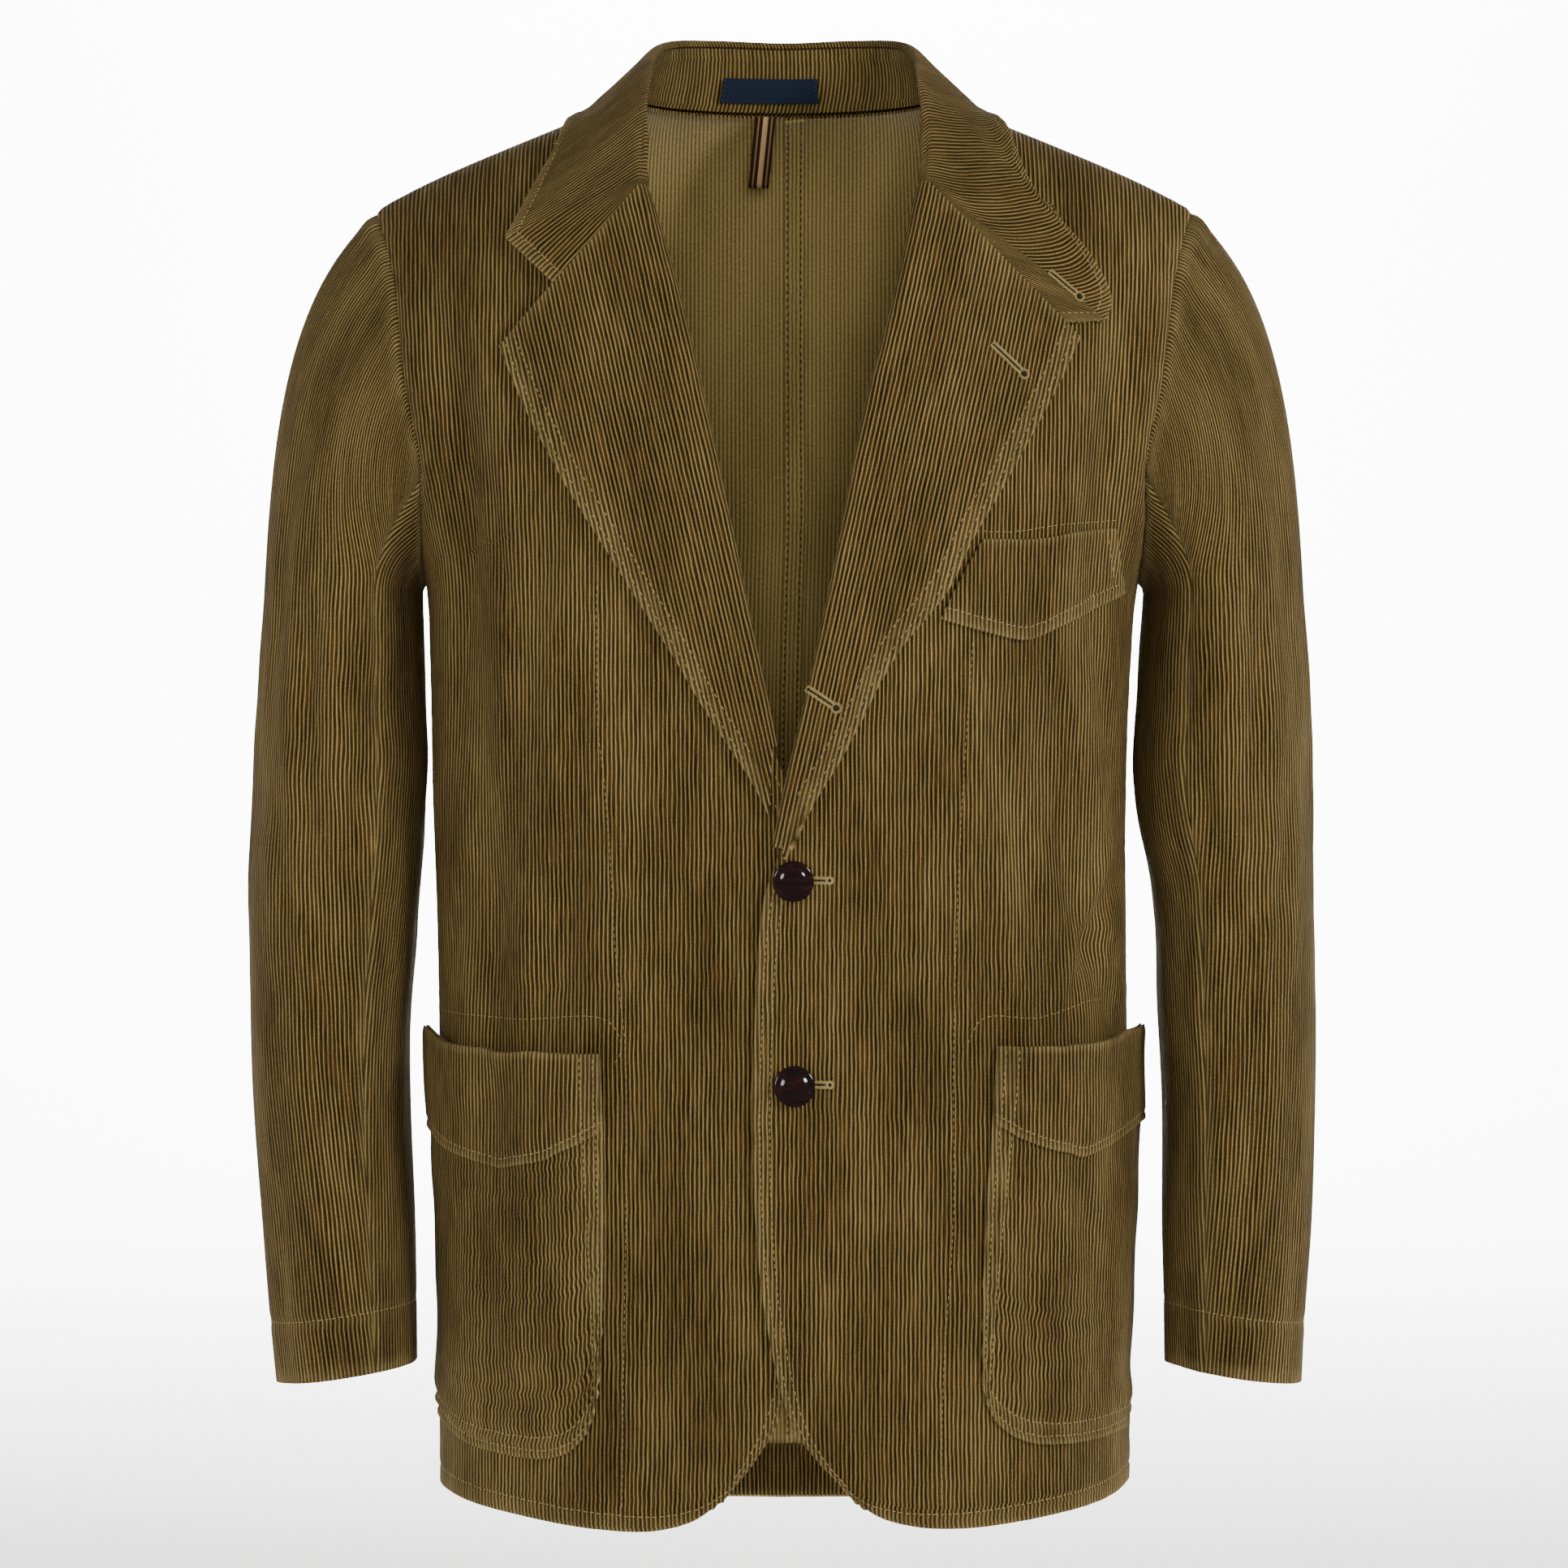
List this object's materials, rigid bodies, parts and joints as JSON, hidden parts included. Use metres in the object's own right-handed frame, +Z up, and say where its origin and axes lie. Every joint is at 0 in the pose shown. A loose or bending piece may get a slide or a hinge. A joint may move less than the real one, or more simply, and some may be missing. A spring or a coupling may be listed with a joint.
{
  "type": "corduroy jacket",
  "caption": "Single-breasted wide-wale corduroy jacket with notched lapels, patch pockets and a chest flap, filled out as if worn and open at neck, hem and cuffs",
  "frame": {"origin": "The middle of the neck at the height of the shoulders, where a hanger or bust would carry the jacket", "axes": "+Z is up, -Y is the way the buttoned front faces, +X is the wearer's left"},
  "size_m": [0.5895, 0.2507, 0.8319],
  "materials": {
    "corduroy": "ribbed pile, olive brown",
    "navy_label": "plain woven, navy",
    "loop_tape": "striped woven tape",
    "horn": "glossy dark brown horn"
  },
  "bodies": {
    "root": {"front_left": "corduroy", "back_left": "corduroy", "sleeve_upper_left": "corduroy", "sleeve_under_left": "corduroy", "lapel_left": "corduroy", "hip_pocket_left": "corduroy", "hip_pocket_cuff_left": "corduroy", "front_right": "corduroy", "back_right": "corduroy", "sleeve_upper_right": "corduroy", "sleeve_under_right": "corduroy", "lapel_right": "corduroy", "hip_pocket_right": "corduroy", "hip_pocket_cuff_right": "corduroy", "collar_fall": "corduroy", "collar_stand": "corduroy", "neck_label": "navy_label", "chest_flap": "corduroy", "button_top": "horn", "button_bottom": "horn", "hanger_loop": "loop_tape"}
  },
  "joints": []
}
